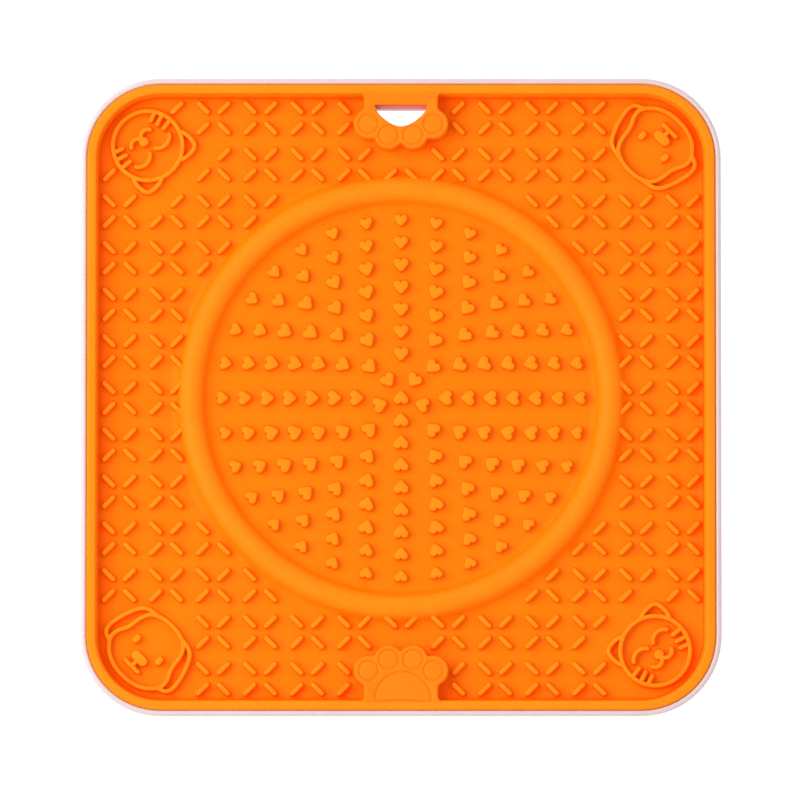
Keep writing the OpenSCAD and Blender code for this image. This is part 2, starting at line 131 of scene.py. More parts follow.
def heading(start: Point, end: Point) -> float:
    """The direction from one point to another, in degrees."""
    return math.degrees(math.atan2(end[1] - start[1], end[0] - start[0]))


def meeting(start: Point, reach: float, end: Point, end_reach: float) -> Point:
    """The point at given distances from two others, to the right of the way from one to the other."""
    gap = math.dist(start, end)
    along = (gap**2 + reach**2 - end_reach**2) / (2 * gap)
    off = math.sqrt(reach**2 - along**2)
    run_x, run_y = (end[0] - start[0]) / gap, (end[1] - start[1]) / gap
    return (start[0] + along * run_x + off * run_y, start[1] + along * run_y - off * run_x)


def smoothed(points: Section, steps: int, closed: bool = False) -> list[Point]:
    """Draws a smooth curve through points.

    Args:
        points: The points that it passes.
        steps: Steps from each point to the next.
        closed: Whether the last point joins the first.

    Returns:
        The curve's points.
    """
    count = len(points)
    curve = []
    for index in range(count if closed else count - 1):
        places = [index + shift for shift in (-1, 0, 1, 2)]
        near = [points[at % count if closed else min(max(at, 0), count - 1)] for at in places]
        for t in (step / steps for step in range(steps)):
            square, cube = t * t, t * t * t
            shares = [square - t / 2 - cube / 2, 1 - 2.5 * square + 1.5 * cube]
            shares += [t / 2 + 2 * square - 1.5 * cube, (cube - square) / 2]
            curve.append(tuple(sum(share * spot[k] for share, spot in zip(shares, near)) for k in (0, 1)))
    return curve if closed else curve + [tuple(points[-1])]


def mirrored(half: Section) -> list[Point]:
    """A whole outline from one half of it, which starts and ends on the middle line."""
    return list(half) + [(-x, y) for x, y in reversed(half[1:-1])]


def stroke(path: Section, radius: float, steps: int = 4) -> list[Point]:
    """The outline of a line with round ends.

    Args:
        path: The line's middle.
        radius: Half its width.
        steps: Steps in each round end.

    Returns:
        The outline's points, anticlockwise.
    """
    right, left = grown(path, radius, closed=False), grown(path, -radius, closed=False)
    end, start = heading(path[-2], path[-1]), heading(path[0], path[1])
    return (
        right[:-1]
        + arc(path[-1], radius, end - 90, end + 90, steps)
        + left[-2:0:-1]
        + arc(path[0], radius, start + 90, start + 270, steps)[:-1]
    )


# The right side of the hanging hole, from its round end to its straight edge
HOLE_SIDE = ((0, 84.93), (1.4, 85.15), (2.8, 85.66), (4.39, 86.6), (5.55, 87.55), (6.63, 88.48), (7.5, 89.7))
HOLE_SIDE += ((8.0, 90.9), (8.15, 91.75))


def d_outline(grow: float, edge_shift: float = 0.0) -> list[Point]:
    """The D-shaped hanging hole, with its straight edge towards the rim.

    Args:
        grow: How much it is grown.
        edge_shift: How far the straight edge stands inwards.

    Returns:
        Its points, anticlockwise.
    """
    side = smoothed(HOLE_SIDE, 3)
    edge_y = side[-1][1]
    edge = [(side[-1][0] * share, edge_y) for share in (0.96, 0.7, 0.35, 0.0)]
    limit = edge_y + grow - edge_shift
    return [(x, min(y, limit)) for x, y in grown(mirrored(side + edge), grow)]


# Mesh helpers

SHARP_ANGLE = math.radians(60)
WELD = 0.0005 * MM
SEAM = 0.001 * MM
LEVEL_SLACK = 0.01 * MM


def draw_chain(bm: BMesh, points: Iterable[Vector], closed: bool = False) -> Loop:
    """Draws a chain of edges in a bmesh.

    Args:
        bm: The bmesh.
        points: The chain's points in millimetres.
        closed: Whether the last point joins the first.

    Returns:
        The edges, in order.
    """
    verts = [bm.verts.new(Vector(point) * MM) for point in points]
    ends = verts[1:] + verts[:1] if closed else verts[1:]
    return [bm.edges.new(pair) for pair in zip(verts, ends)]


def extruded_from(vert: BMVert, known: set[BMVert]) -> BMVert:
    """The new vertex that was extruded from a known one and still lies on it."""
    ends = (edge.other_vert(vert) for edge in vert.link_edges)
    return next(end for end in ends if end not in known and end.co == vert.co)


def draw_rings(bm: BMesh, rings: Sequence[Ring], wrap: bool = False) -> list[Loop]:
    """Extrudes a level ring along a list of rings with equal numbers of points.

    Args:
        bm: The bmesh that takes them.
        rings: Each ring's outline and level.
        wrap: Whether the last ring runs into the first.

    Returns:
        The rings' loops.
    """
    stations = [[Vector((x, y, z)) * MM for x, y in outline] for outline, z in rings]
    row = [bm.verts.new(spot) for spot in stations[0]]
    loops = [[bm.edges.new(pair) for pair in zip(row, row[1:] + row[:1])]]
    for spots in stations[1:] + (stations[:1] if wrap else []):
        known = set(row)
        bmesh.ops.extrude_edge_only(bm, edges=loops[-1])
        row = [extruded_from(vert, known) for vert in row]
        for vert, spot in zip(row, spots):
            vert.co = spot
        loops.append([bm.edges.get(pair) for pair in zip(row, row[1:] + row[:1])])
    return loops


def finish_mesh(bm: BMesh, name: str, smooth: bool = True) -> Object:
    """Turns a bmesh into an object at the origin, with its normals outwards.

    Args:
        bm: The bmesh, which is freed.
        name: The object's name.
        smooth: Whether its faces are shaded smooth.

    Returns:
        The new object.
    """
    bmesh.ops.remove_doubles(bm, verts=bm.verts[:], dist=WELD)
    bmesh.ops.recalc_face_normals(bm, faces=bm.faces[:])
    for face in bm.faces:
        face.smooth = smooth
    for edge in bm.edges:
        edge.smooth = edge.calc_face_angle(0.0) < SHARP_ANGLE
    mesh = bpy.data.meshes.new(name)
    bm.to_mesh(mesh)
    bm.free()
    piece = bpy.data.objects.new(name, mesh)
    bpy.context.scene.collection.objects.link(piece)
    return piece


def dress(piece: Object, body: str, slot: Slot, finish: Material, nodes: Sequence[str]) -> None:
    """Gives a piece its body and finish, and hides the nodes that it stands for.

    Args:
        piece: The piece.
        body: The body that it rides on.
        slot: Not used.
        finish: Its material.
        nodes: The nodes that it replaces.
    """
    piece.data.materials.append(finish)
    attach(piece, body)
    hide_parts(*nodes)
    LOG.info("%s rides on %s: %d faces", piece.name, body, len(piece.data.polygons))


def spin_round(bm: BMesh, section: Section, steps: int, closed: bool, centre: Point = (0, 0)) -> None:
    """Spins a section, listed as (radius, level), a full turn about an upright axis.

    Args:
        bm: The bmesh that takes the form.
        section: The section's points in millimetres.
        steps: Steps in the turn.
        closed: Whether the section is a loop. An open one starts and ends on the axis.
        centre: Where the axis stands.
    """
    edges = draw_chain(bm, [Vector((centre[0] + r, centre[1], z)) for r, z in section], closed)
    verts = {vert for edge in edges for vert in edge.verts}
    bmesh.ops.spin(
        bm,
        geom=list(verts) + edges,
        cent=Vector((centre[0], centre[1], 0)) * MM,
        axis=(0, 0, 1),
        angle=2 * math.pi,
        steps=steps,
        use_merge=True,
    )


@dataclass(frozen=True)
class Plan:
    """The rounded square that every swept wall follows, in millimetres."""

    side: float = 200.0
    corner_r: float = 25.0
    corner_steps: int = 16

    def sweep(self, bm: BMesh, section: Section) -> None:
        """Sweeps an open section, of (distance out from the corner's middle, level), all the way round.

        Args:
            bm: The bmesh that takes the form.
            section: The section's points.
        """
        reach = self.side / 2 - self.corner_r
        edges = draw_chain(bm, [Vector((reach + u, -reach, z)) for u, z in section])
        for turn in range(4):
            turned = Matrix.Rotation(turn * math.pi / 2, 3, "Z")
            grown_part = bmesh.ops.extrude_edge_only(bm, edges=edges)["geom"]
            verts = [item for item in grown_part if isinstance(item, BMVert)]
            edges = [item for item in grown_part if isinstance(item, BMEdge)]
            edges = [edge for edge in edges if all(vert in verts for vert in edge.verts)]
            bmesh.ops.translate(bm, verts=verts, vec=turned @ Vector((0, 2 * reach, 0)) * MM)
            last = bmesh.ops.spin(
                bm,
                geom=verts + edges,
                cent=turned @ Vector((reach, reach, 0)) * MM,
                axis=(0, 0, 1),
                angle=math.pi / 2,
                steps=self.corner_steps,
            )["geom_last"]
            edges = [item for item in last if isinstance(item, BMEdge)]
        bmesh.ops.remove_doubles(bm, verts=bm.verts[:], dist=SEAM)

    @staticmethod
    def fill_level(bm: BMesh, level: float, holes: Sequence[Loop] = ()) -> None:
        """Fills the flat border at a level, round the holes in it.

        Args:
            bm: The bmesh.
            level: The border's level.
            holes: The loops of the holes.
        """
        known = {edge for loop in holes for edge in loop}
        border = [
            edge
            for edge in bm.edges
            if edge not in known
            and edge.is_boundary
            and all(abs(vert.co.z - level * MM) < LEVEL_SLACK for vert in edge.verts)
        ]
        bmesh.ops.triangle_fill(bm, edges=border + list(known), use_beauty=True)


def new_form(rings: Sequence[Ring], wrap: bool = False) -> Mesh:
    """Bridges level rings into a closed form.

    Args:
        rings: Each ring's outline and level.
        wrap: Whether the form is a ring itself. Otherwise its two ends are flat.

    Returns:
        The form as a mesh, to be placed by scatter.
    """
    bm = bmesh.new()
    loops = draw_rings(bm, rings, wrap)
    if not wrap:
        for loop in (loops[0], loops[-1]):
            bmesh.ops.contextual_create(bm, geom=loop)
    mesh = bpy.data.meshes.new("form")
    bm.to_mesh(mesh)
    bm.free()
    return mesh


def scatter(name: str, forms: Iterable[tuple[Mesh, Matrix]]) -> Object:
    """Puts copies of forms into one piece.

    Args:
        name: The piece's name.
        forms: Each copy's form and its place, in metres.

    Returns:
        The piece.
    """
    bm = bmesh.new()
    for mesh, place in forms:
        known = len(bm.verts)
        bm.from_mesh(mesh)
        bm.verts.ensure_lookup_table()
        bmesh.ops.transform(bm, matrix=place, verts=bm.verts[known:])
    return finish_mesh(bm, name)


@dataclass(frozen=True)
class NubProfile:
    """How a raised form grows from the floor: its foot flares, its sides lean and its top edge is round."""

    height: float = LEVELS.nub_top - LEVELS.mat_floor
    foot: Section = ((1.3, -0.06), (0.8, 0.0), (0.4, 0.13), (0.13, 0.65))
    edge: Section = ((0.02, -0.3), (-0.09, -0.06), (-0.3, 0.0))

    def steps(self, lift: float = 0.0) -> list[Point]:
        """The profile's (growth, level) pairs from the foot up.

        Args:
            lift: A little extra height, so that tops that cross don't share a plane.

        Returns:
            The pairs.
        """
        top = LEVELS.mat_floor + self.height + lift
        return [(d, LEVELS.mat_floor + z) for d, z in self.foot] + [(d, top + z) for d, z in self.edge]

    def raised(self, outline: Callable[[float], Section], lift: float = 0.0) -> Mesh:
        """A raised form on the floor.

        Args:
            outline: Gives the outline for a growth.
            lift: A little extra height.

        Returns:
            The form.
        """
        return new_form([(outline(grow), z) for grow, z in self.steps(lift)])

    def raised_loop(self, path: Section, radius: float, lift: float = 0.0) -> Mesh:
        """A raised line that runs back into itself.

        Args:
            path: The line's middle, anticlockwise.
            radius: Half its width.
            lift: A little extra height.

        Returns:
            The form.
        """
        outside = [(grown(path, radius + grow), z) for grow, z in self.steps(lift)]
        inside = [(grown(path, -radius - grow), z) for grow, z in reversed(self.steps(lift))]
        return new_form(outside + inside, wrap=True)


@dataclass(frozen=True)
class MatShell:
    """The mat's floor with its rim, in millimetres. Each u is measured out from the corners' middles."""

    plan: Plan
    wall_lean: float = 9.0
    rim_draft: float = 8.0
    floor_from_u: float = 18.6
    flat_to_u: float = 20.2
    bend_u: float = 20.54
    bend_r: float = 1.6
    rim_out_u: float = 22.49
    rim_in_u: float = 20.942
    rim_edge_r: float = 0.7
    fillet_u: float = 18.117
    fillet_r: float = 1.5
    hollow_grow: float = 1.85
    hollow_shift: float = 0.55

    def section(self) -> list[Point]:
        """The section of the rim, from under the floor, round the wall and back over the floor."""
        bend_z, edge_z = LEVELS.floor_top + self.bend_r, LEVELS.rim_top - self.rim_edge_r
        fillet_z = LEVELS.mat_floor + self.fillet_r
        return (
            [(self.floor_from_u, LEVELS.floor_top), (self.flat_to_u, LEVELS.floor_top)]
            + arc((self.bend_u, bend_z), self.bend_r, -90, -self.wall_lean, 5)
            + arc((self.rim_out_u, edge_z), self.rim_edge_r, -self.wall_lean, 90, 5)
            + arc((self.rim_in_u, edge_z), self.rim_edge_r, 90, 180 - self.rim_draft, 5)
            + arc((self.fillet_u, fillet_z), self.fillet_r, -self.rim_draft, -90, 6)
        )

    def build(self) -> Object:
        """Builds the shell, with the hollow under the rear tab."""
        bm = bmesh.new()
        self.plan.sweep(bm, self.section())
        outline = d_outline(self.hollow_grow, self.hollow_shift)
        levels = (LEVELS.floor_top, LEVELS.mat_floor)
        for level, loop in zip(levels, draw_rings(bm, [(outline, level) for level in levels])):
            self.plan.fill_level(bm, level, [loop])
        return finish_mesh(bm, "mat_shell")


@dataclass(frozen=True)
class RoundRidge:
    """The round ridge, with a soft foot on either side, in millimetres."""

    middle_r: float = 65.6
    crest_r: float = 4.5
    height: float = 4.0
    foot_r: float = 3.2
    skirt: float = 0.6
    skirt_dip: float = 0.03
    sunk: float = 0.4
    turn_steps: int = 192

    def section(self) -> list[Point]:
        """The section across the ridge, from its inner foot over the crest to its outer foot."""
        floor = LEVELS.mat_floor
        crest_z, foot_z = floor + self.height - self.crest_r, floor + self.foot_r
        foot_u = math.sqrt((self.crest_r + self.foot_r) ** 2 - (foot_z - crest_z) ** 2)
        touch = heading((0, crest_z), (foot_u, foot_z))
        end_u = foot_u + self.skirt
        return (
            [(-end_u, floor - self.sunk), (-end_u, floor - self.skirt_dip)]
            + arc((-foot_u, foot_z), self.foot_r, -90, -touch, 5)
            + arc((0, crest_z), self.crest_r, 180 - touch, touch, 14)[1:-1]
            + arc((foot_u, foot_z), self.foot_r, 180 + touch, 270, 5)
            + [(end_u, floor - self.skirt_dip), (end_u, floor - self.sunk)]
        )

    def build(self) -> Object:
        """Builds the ridge."""
        bm = bmesh.new()
        spin_round(bm, [(self.middle_r + u, z) for u, z in self.section()], self.turn_steps, closed=True)
        return finish_mesh(bm, "mat_ridge")


@dataclass(frozen=True)
class Hearts:
    """One heart in the middle and rings of them round it, in millimetres or shares of a heart's width."""

    width: float = 4.65
    pitch: float = 7.0
    rings: int = 8
    first_count: int = 5
    count_step: int = 4
    last_rings_shares: Point = (0.925, 0.85)
    lobe_share: float = 0.27
    lobe_at_shares: Point = (0.23, 0.13)
    tip_share: float = 0.17
    tip_at_share: float = -0.3
    notch_half: float = 0.1
    notch_drop: float = 0.22
    least_cosine: float = -0.94

    def outline(self, width: float, grow: float) -> list[Point]:
        """A heart's outline with its tip along -Y.

        Args:
            width: Its width across the lobes.
            grow: How much the outline is grown.

        Returns:
            The outline's points, anticlockwise.
        """
        lobe, tip = self.lobe_share * width + grow, self.tip_share * width + grow
        lobe_at = (self.lobe_at_shares[0] * width, self.lobe_at_shares[1] * width)
        tip_at = (0, self.tip_at_share * width)
        lobe_end = math.degrees(math.acos(max((self.notch_half - lobe_at[0]) / lobe, self.least_cosine)))
        notch = (0, lobe_at[1] + lobe * math.sin(math.radians(lobe_end)) - self.notch_drop)
        touch = heading(lobe_at, tip_at) + math.degrees(math.acos((lobe - tip) / math.dist(lobe_at, tip_at)))
        return mirrored(arc(tip_at, tip, -90, touch, 2) + arc(lobe_at, lobe, touch, lobe_end, 6) + [notch])

    def build(self) -> Object:
        """Builds the hearts, with their tips to the middle."""
        profile = NubProfile()
        ring_shares = dict(zip((self.rings - 1, self.rings), self.last_rings_shares))
        shapes = {
            share: profile.raised(partial(self.outline, self.width * share))
            for share in (1.0, *self.last_rings_shares)
        }
        forms = [(shapes[1.0], Matrix.Rotation(math.pi, 4, "Z"))]
        for ring in range(1, self.rings + 1):
            count, first = (self.first_count, -90) if ring == 1 else (self.count_step * ring, 0)
            out = Matrix.Translation((ring * self.pitch * MM, 0, 0)) @ Matrix.Rotation(-math.pi / 2, 4, "Z")
            for index in range(count):
                turn = Matrix.Rotation(math.radians(first + index * 360 / count), 4, "Z")
                forms.append((shapes[ring_shares.get(ring, 1.0)], turn @ out))
        return scatter("mat_hearts", forms)


@dataclass(frozen=True)
class Bars:
    """The lattice of slanted bars outside the ridge, in millimetres."""

    pitch: float = 14.68
    cells: int = 6
    length: float = 5.3
    width: float = 1.4
    offset_share: float = 0.2214
    ridge_clear_r: float = 70.1
    floor_half: float = 94.42
    floor_corner_r: float = 19.42

    def on_floor(self, x: float, y: float) -> bool:
        """Whether a bar stays inside the floor's sides and its round corners."""
        past = sorted(abs(value) - self.floor_half + self.floor_corner_r for value in (x, y))
        reach = self.length / 2 * math.cos(math.radians(45))
        if past[1] + reach >= self.floor_corner_r:
            return False
        return past[0] < 0 or math.hypot(*past) + self.length / 2 < self.floor_corner_r

    def places(self) -> list[tuple[Point, int]]:
        """Where the bars stand.

        Returns:
            Each bar's middle, and 1 or -1 for its slant.
        """
        places = []
        cells, sides = range(-self.cells, self.cells + 1), (-1, 1)
        for column, row, side, end in product(cells, cells, sides, sides):
            x = self.pitch * (column + side * self.offset_share)
            y = self.pitch * (row + end * self.offset_share)
            fits = (
                math.hypot(x, y) > self.ridge_clear_r
                and self.on_floor(x, y)
                and PawTab.clear_of((x, abs(y)))
                and all(figure.clear_of((x, y)) for figure in FIGURES)
            )
            if fits:
                places.append(((x, y), side * end))
        return places

    def build(self) -> Object:
        """Builds the bars."""
        reach = (self.length - self.width) / 2
        bar = NubProfile().raised(lambda grow: stroke([(-reach, 0), (reach, 0)], self.width / 2 + grow))
        places = self.places()
        LOG.info("%d bars", len(places))
        forms = []
        for (x, y), slant in places:
            turn = Matrix.Rotation(slant * math.pi / 4, 4, "Z")
            forms.append((bar, Matrix.Translation((x * MM, y * MM, 0)) @ turn))
        return scatter("mat_bars", forms)


HEAD_R = 10.9


@dataclass(frozen=True)
class Figure:
    """Where a corner figure stands, in millimetres or shares of its head's radius."""

    corner: tuple[int, int]
    is_cat: bool
    clear_share: float = 1.48
    ear_reach_share: float = 1.4
    ear_clear_share: float = 0.42
    reach: float = 79.334
    head_r: float = HEAD_R

    @property
    def middle(self) -> Point:
        """The middle of its head."""
        return (self.corner[0] * self.reach, self.corner[1] * self.reach)

    @property
    def place(self) -> Matrix:
        """Its place in metres, the top of its head towards the middle of the mat."""
        turn = math.atan2(-self.corner[1], -self.corner[0]) - math.pi / 2
        x, y = self.middle
        return Matrix.Translation((x * MM, y * MM, 0)) @ Matrix.Rotation(turn, 4, "Z")

    def clear_of(self, spot: Point) -> bool:
        """Whether a bar's middle keeps clear of the figure."""
        if math.dist(spot, self.middle) <= self.clear_share * self.head_r:
            return False
        (x, y), out = self.middle, self.ear_reach_share * self.head_r
        ears = [(x - self.corner[0] * out, y), (x, y - self.corner[1] * out)]
        ear_r = self.ear_clear_share * self.head_r
        return not self.is_cat or all(math.dist(spot, ear) >= ear_r for ear in ears)


FIGURES = (
    Figure((-1, 1), is_cat=True, clear_share=1.28),
    Figure((1, 1), is_cat=False),
    Figure((-1, -1), is_cat=False),
    Figure((1, -1), is_cat=True),
)


@dataclass
class AnimalFaces:
    """Faces in raised lines, drawn in head radii with the top of the head along +Y."""

    head_r: float = HEAD_R
    line_r: float = 0.625
    lift: float = 0.006
    profile: NubProfile = NubProfile()

    def sized(self, points: Section) -> list[Point]:
        """Turns points in head radii into millimetres."""
        return [(x * self.head_r, y * self.head_r) for x, y in points]

    def line(self, points: Section, lifts: int = 1, steps: int = 1) -> Mesh:
        """A raised line through points.

        Args:
            points: The points.
            lifts: How many lifts it stands above the head's outline.
            steps: Steps from each point to the next. More than one draws a curve.

        Returns:
            The form.
        """
        path = self.sized(smoothed(points, steps))
        return self.profile.raised(lambda grow: stroke(path, self.line_r + grow), lifts * self.lift)

    def spot(self, points: Section, radius: float) -> Mesh:
        """A raised spot round a short line."""
        path = self.sized(points)
        return self.profile.raised(lambda grow: stroke(path, radius * self.head_r + grow, 6), self.lift)

    def ring(self, points: Section) -> Mesh:
        """The raised outline of the head."""
        return self.profile.raised_loop(self.sized(points), self.line_r)

    @staticmethod
    def set_out(name: str, forms: Sequence[Mesh], cats: bool) -> Object:
        """Puts a face at each of its corners.

        Args:
            name: The piece's name.
            forms: The face's forms.
            cats: Whether the corners are the cats'.

        Returns:
            The piece.
        """
        corners = [figure for figure in FIGURES if figure.is_cat == cats]
        return scatter(name, [(form, figure.place) for figure in corners for form in forms])


class CatFaces(AnimalFaces):
    """The cats' faces, at the rear left and the front right."""

    NOSE = ((-0.012, -0.15), (0.012, -0.15))
    NOSE_R = 0.13
    EAR_SIDE = ((0.41, 0.92), (0.37, 1.04), (0.26, 1.19), (0.1, 1.32))
    EAR_TIP = (0.0, 1.345)
    EAR_TURN = 45
    EYE_R = 0.34
    MOUTH_R = 0.195
    # Where each whisker starts, and the angle at which it runs into the head's outline
    WHISKERS = (((0.68, -0.03), 4), ((0.63, -0.24), 20), ((0.57, -0.45), 33))

    def ear(self, side: int) -> Mesh:
        """An ear, drawn upright and turned to its side."""
        upright = [*self.EAR_SIDE, self.EAR_TIP, *((-x, y) for x, y in reversed(self.EAR_SIDE))]
        turn = math.radians(side * self.EAR_TURN)
        cos, sin = math.cos(turn), math.sin(turn)
        return self.line([(x * cos - y * sin, x * sin + y * cos) for x, y in upright], 2, steps=4)

    def build(self) -> Object:
        """Builds both faces.

        Returns:
            The piece.
        """
        forms = [self.ring(circle((0, 0), 1.0, 72)), self.spot(self.NOSE, self.NOSE_R)]
        for side in (-1, 1):
            forms.append(self.ear(side))
            forms.append(self.line(arc((side * 0.39, 0.01), self.EYE_R, 35, 145, 12)))
            forms.append(self.line(arc((side * self.MOUTH_R, -0.2), self.MOUTH_R, 205, 335, 12), 2 + side))
            for (x, y), angle in self.WHISKERS:
                end = (side * math.cos(math.radians(angle)), -math.sin(math.radians(angle)))
                forms.append(self.line([(side * x, y), end]))
        return self.set_out("mat_cat_faces", forms, cats=True)


class DogFaces(AnimalFaces):
    """The dogs' faces, at the rear right and the front left."""

    CHIN = ((0, -0.994), (0.229, -0.983), (0.45, -0.929), (0.63, -0.855), (0.783, -0.751), (0.914, -0.613))
    CHEEK = ((0.995, -0.495), (1.028, -0.404), (1.025, -0.282), (0.995, -0.154), (0.932, -0.032))
    TEMPLE = ((0.872, 0.106), (0.839, 0.245), (0.822, 0.391), (0.797, 0.529), (0.752, 0.661))
    CROWN = ((0.679, 0.789), (0.578, 0.881), (0.422, 0.952), (0.239, 1.0), (0, 1.018))
    EAR_FOOT = ((0.914, -0.613), (0.986, -0.545), (1.064, -0.508), (1.147, -0.482), (1.22, -0.427))
    EAR_SIDE = ((1.273, -0.33), (1.288, -0.202), (1.273, -0.046), (1.235, 0.142), (1.178, 0.339))
    EAR_TOP = ((1.101, 0.537), (1.014, 0.706), (0.936, 0.803), (0.835, 0.867))
    EAR_END = ((0.725, 0.904), (0.587, 0.922), (0.48, 0.94))
    EYE_X, EYE_YS, EYE_R = 0.455, (-0.01, 0.09), 0.088
    NOSE = ((-0.128, -0.303), (0.128, -0.303))
    NOSE_R = 0.136
    MUZZLE = ((0, -0.35), (0, -0.615))
    MOUTH = ((-0.25, -0.615), (0.25, -0.615))

    def build(self) -> Object:
        """Builds both faces.

        Returns:
            The piece.
        """
        head = mirrored(self.CHIN + self.CHEEK + self.TEMPLE + self.CROWN)
        forms = [self.ring(smoothed(head, 3, closed=True))]
        for side in (-1, 1):
            ear = self.EAR_FOOT + self.EAR_SIDE + self.EAR_TOP + self.EAR_END
            forms.append(self.line([(side * x, y) for x, y in ear], 1, steps=3))
            forms.append(self.spot([(side * self.EYE_X, y) for y in self.EYE_YS], self.EYE_R))
        forms.append(self.spot(self.NOSE, self.NOSE_R))
        forms.append(self.line(self.MUZZLE, 2))
        forms.append(self.line(self.MOUTH, 1))
        return self.set_out("mat_dog_faces", forms, cats=False)


@dataclass(frozen=True)
class PawTab:
    """A paw-shaped tab on the rim, drawn for the rear side, in millimetres."""

    side: str
    lobes: Point = (4.45, 4.7)
    inside_r: float = 0.8
    toe_r: float = 3.05
    neck_half: float = 11.6
    neck_r: float = 1.5
    rim_y: float = 95.334
    # How the neck runs out under the rim
    taper: Section = ((13.8, 95.38), (14.5, 95.6), (15.1, 96.1), (15.4, 97.0), (0.0, 97.0))
    palm_y: float = 95.0
    palm_r: float = 8.8
    palm_corner_r: float = 1.1
    palm_edge: float = 0.52
    palm_edge_share: float = 0.6
    palm_sag: float = 0.45
    palm_shift: float = -0.65
    hollow_shift: float = 0.5
    # Each as a growth of the outline and a height above the tab's top
    groove_outside: Section = ((0.42, 0.0), (0.3, -0.06), (0.12, -0.32))
    groove_inside: Section = ((-0.12, -0.32), (-0.36, -0.1), (-0.65, -0.02), (-1.2, 0.0))
    profile: NubProfile = NubProfile(
        height=LEVELS.tab_top - LEVELS.mat_floor,
        foot=((0.6, -0.25), (0.55, 0.01), (0.28, 0.12), (0.12, 0.4), (0.05, 1.2)),
        edge=((0.0, -0.75), (-0.07, -0.4), (-0.3, -0.1), (-0.62, 0.0), (-0.72, 0.0)),
    )

    TOES = ((3.85, 82.3), (10.12, 85.8))
    TOE_CLEAR = 7.0
    PALM_MIDDLE = (0.0, 92.934)
    PALM_CLEAR = 11.1

    @classmethod
    def toes(cls) -> list[Point]:
        """The middles of the four toes."""
        return [(sign * x, y) for x, y in cls.TOES for sign in (-1, 1)]

    @classmethod
    def clear_of(cls, spot: Point) -> bool:
        """Whether a bar's middle, mirrored to the rear, keeps clear of the tab."""
        off_toes = all(math.dist(spot, toe) >= cls.TOE_CLEAR for toe in cls.toes())
        return off_toes and math.dist(spot, cls.PALM_MIDDLE) >= cls.PALM_CLEAR

    def outline(self) -> list[Point]:
        """The tab's outline: four round toes under a neck, with soft inner corners."""
        inner, outer = self.TOES
        inner_r, outer_r = self.lobes
        middle = meeting((-inner[0], inner[1]), inner_r + self.inside_r, inner, inner_r + self.inside_r)
        notch = meeting(inner, inner_r + self.inside_r, outer, outer_r + self.inside_r)
        neck_x = self.neck_half + self.neck_r
        neck = (neck_x, outer[1] + math.sqrt((outer_r + self.neck_r) ** 2 - (neck_x - outer[0]) ** 2))
        return mirrored(
            arc(middle, self.inside_r, 90, heading(middle, inner), 3)
            + arc(inner, inner_r, heading(inner, middle), heading(inner, notch), 12)[1:]
            + arc(notch, self.inside_r, heading(notch, inner), heading(notch, outer), 4)[1:]
            + arc(outer, outer_r, heading(outer, notch), heading(outer, neck), 15)[1:]
            + arc(neck, self.neck_r, heading(neck, outer) + 360, 180, 5)[1:]
            + arc((neck_x, self.rim_y - self.neck_r), self.neck_r, 180, 90, 6)
            + list(self.taper)
        )

    def sunk(self, bm: BMesh, outline: Callable[[float], Section]) -> Loop:
        """Draws a shallow groove and the flat inside it.

        Args:
            bm: The bmesh that takes it.
            outline: Gives the groove's middle for a growth.

        Returns:
            The groove's outer loop.
        """
        groove = self.groove_outside + self.groove_inside
        loops = draw_rings(bm, [(outline(grow), LEVELS.tab_top + z) for grow, z in groove])
        bmesh.ops.contextual_create(bm, geom=loops[-1])
        return loops[0]

    def toe(self, middle: Point, grow: float) -> list[Point]:
        """A toe pad's outline."""
        return circle(middle, self.toe_r + grow, 32)

    def palm(self, grow: float) -> list[Point]:
        """The palm pad's outline: half round, with its long edge along the rim."""
        radius, corner = self.palm_r + grow, self.palm_corner_r + grow / 2
        edge_y = self.palm_y + self.palm_edge + grow * self.palm_edge_share
        middle, corner_y = (0, self.palm_y), edge_y - corner
        corner_x = math.sqrt((radius - corner) ** 2 - (corner_y - self.palm_y) ** 2)
        touch = heading(middle, (corner_x, corner_y))
        half = arc(middle, radius, -90, touch, 16) + arc((corner_x, corner_y), corner, touch, 90, 5)[1:]
        half += [(corner_x * share, edge_y - self.palm_sag * (1 - share**2)) for share in (0.7, 0.35, 0)]
        return [(x + self.palm_shift, y) for x, y in mirrored(half)]

    def hole_rings(self) -> list[Ring]:
        """The rings of the hanging hole, from the top down, and of the hollow for the tray's collar."""
        top, skin = LEVELS.tab_top, LEVELS.skin_foot
        hole = [(0.06, top), (0.01, top - 0.06), (0.0, top - 0.3), (0.0, skin + 0.15), (0.15, skin)]
        hollow = [(1.6, skin), (1.8, skin - 0.15), (1.8, LEVELS.mat_floor + self.profile.foot[0][1])]
        rings = [(d_outline(grow), z) for grow, z in hole]
        return rings + [(d_outline(grow, self.hollow_shift), z) for grow, z in hollow]

    def build(self) -> Object:
        """Builds the tab.

        Returns:
            The piece.
        """
        bm = bmesh.new()
        path = self.outline()
        walls = draw_rings(bm, [(grown(path, grow), z) for grow, z in self.profile.steps()])
        loops = [walls[-1]] + [self.sunk(bm, partial(self.toe, middle)) for middle in self.toes()]
        if self.side == "front":
            loops.append(self.sunk(bm, self.palm))
            bmesh.ops.contextual_create(bm, geom=walls[0])
        else:
            rings = draw_rings(bm, self.hole_rings())
            loops.append(rings[0])
            bmesh.ops.triangle_fill(bm, edges=walls[0] + rings[-1], use_beauty=True)
        bmesh.ops.triangle_fill(bm, edges=[edge for loop in loops for edge in loop], use_beauty=True)
        if self.side == "front":
            bmesh.ops.rotate(bm, verts=bm.verts[:], cent=(0, 0, 0), matrix=Matrix.Rotation(math.pi, 3, "Z"))
        return finish_mesh(bm, "mat_tab_" + self.side)


